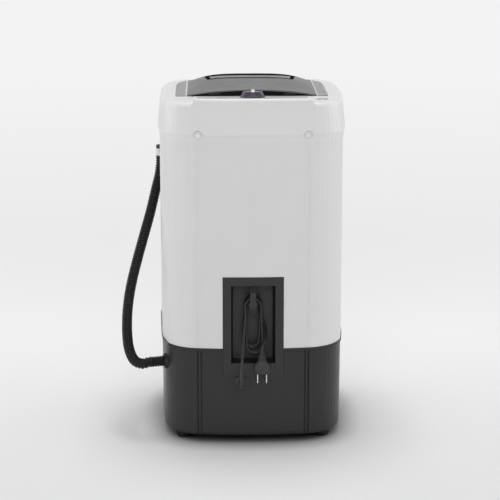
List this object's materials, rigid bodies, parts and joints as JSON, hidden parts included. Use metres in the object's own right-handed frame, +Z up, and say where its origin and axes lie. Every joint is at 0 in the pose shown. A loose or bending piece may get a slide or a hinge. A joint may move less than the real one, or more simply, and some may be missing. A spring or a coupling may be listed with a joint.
{
  "type": "spin dryer",
  "caption": "Upright laundry spin dryer seen from behind, with a white cabinet, dark base, hinged grey lid, timer dial, cord bay and ribbed drain hose.",
  "frame": {"origin": "centre of the footprint at floor level", "axes": "+Z up, +Y towards the back with the cord bay and the dial, +X towards the side with the drain hose"},
  "size_m": [0.4234, 0.4041, 0.6615],
  "materials": {
    "base_plastic": "satin moulded",
    "rubber_feet": "matt",
    "screw_steel": "plated",
    "cabinet_enamel": "semi-gloss enamel",
    "cap_plastic": "smooth moulded",
    "panel_grey": "satin",
    "bay_plastic": "satin",
    "black_plastic": "satin",
    "cord_rubber": "matt",
    "brass": "polished",
    "lid_grey": "smooth moulded",
    "window_smoke": "clear smoked",
    "knob_plastic": "smooth moulded",
    "shaft_steel": "ground",
    "timer_plastic": "matt",
    "button_red": "smooth",
    "tub_plastic": "natural",
    "seal_rubber": "matt",
    "drum_steel": "bright",
    "cast_alloy": "cast",
    "motor_paint": "painted",
    "hose_plastic": "ribbed"
  },
  "bodies": {
    "housing": {"base_housing": "base_plastic", "bottom_cover": "base_plastic", "foot_1": "rubber_feet", "foot_2": "rubber_feet", "foot_3": "rubber_feet", "foot_4": "rubber_feet", "foot_screws": "screw_steel", "cabinet_shell": "cabinet_enamel", "upper_frame": "cap_plastic", "top_cap": "cap_plastic", "console_panel": "panel_grey", "case_screws": "screw_steel", "cord_bay": "bay_plastic", "cord_hook": "bay_plastic", "cord_gland": "cord_rubber", "cord_lead": "cord_rubber", "cord_hank": "cord_rubber", "cord_tail": "cord_rubber", "plug_body": "cord_rubber", "plug_blades": "brass", "hinge_pins": "screw_steel", "hinge_rail": "black_plastic", "timer_body": "timer_plastic", "lid_switch": "black_plastic", "outer_tub": "tub_plastic", "tub_cover": "tub_plastic", "shaft_seal": "seal_rubber", "motor": "motor_paint", "motor_plate": "motor_paint", "motor_mount_1": "seal_rubber", "motor_mount_2": "seal_rubber", "motor_mount_3": "seal_rubber", "brake_pivot": "shaft_steel", "capacitor": "timer_plastic", "drain_elbow": "seal_rubber", "hose_outlet": "black_plastic", "drain_hose": "hose_plastic", "hose_collar": "cap_plastic", "hose_tip": "black_plastic", "hose_clip": "black_plastic", "side_plate": "panel_grey"},
    "lid": {"outer_lid": "lid_grey", "lid_window": "window_smoke", "inner_lid": "black_plastic"},
    "timer_dial": {"timer_knob": "knob_plastic", "timer_shaft": "shaft_steel"},
    "switch_button": {"lid_switch_button": "button_red"},
    "drum": {"drum_wall": "drum_steel", "drum_pan": "drum_steel", "drum_rim": "drum_steel", "drum_hub": "cast_alloy", "hub_nut": "brass", "motor_shaft": "shaft_steel", "brake_drum": "cast_alloy"},
    "brake": {"brake_arm": "motor_paint"}
  },
  "joints": [
    {"name": "lid_hinge", "type": "hinge", "parent": "housing", "child": "lid", "pos_m": [0, 0.076, 0.643], "axis": [-1, 0, 0], "range_deg": [0, 95]},
    {"name": "timer_turn", "type": "hinge", "parent": "housing", "child": "timer_dial", "pos_m": [0, 0.127, 0.64583], "axis": [0, 0.0888, -0.996], "range_deg": [0, 300]},
    {"name": "switch_follow", "type": "slide", "parent": "housing", "child": "switch_button", "axis": [0, 0, 1], "range_m": [0, 0.003]},
    {"name": "drum_spin", "type": "hinge", "parent": "housing", "child": "drum", "pos_m": [0, 0, 0.1], "axis": [0, 0, 1], "continuous": true},
    {"name": "brake_swing", "type": "hinge", "parent": "housing", "child": "brake", "pos_m": [-0.05, -0.024, 0.19], "axis": [0, 0, -1], "range_deg": [0, 6.5]}
  ],
  "couplings": [
    {"joint": "switch_follow", "follows": "lid_hinge", "m_per_rad": 0.0018},
    {"joint": "brake_swing", "follows": "lid_hinge", "ratio": 0.0684}
  ]
}
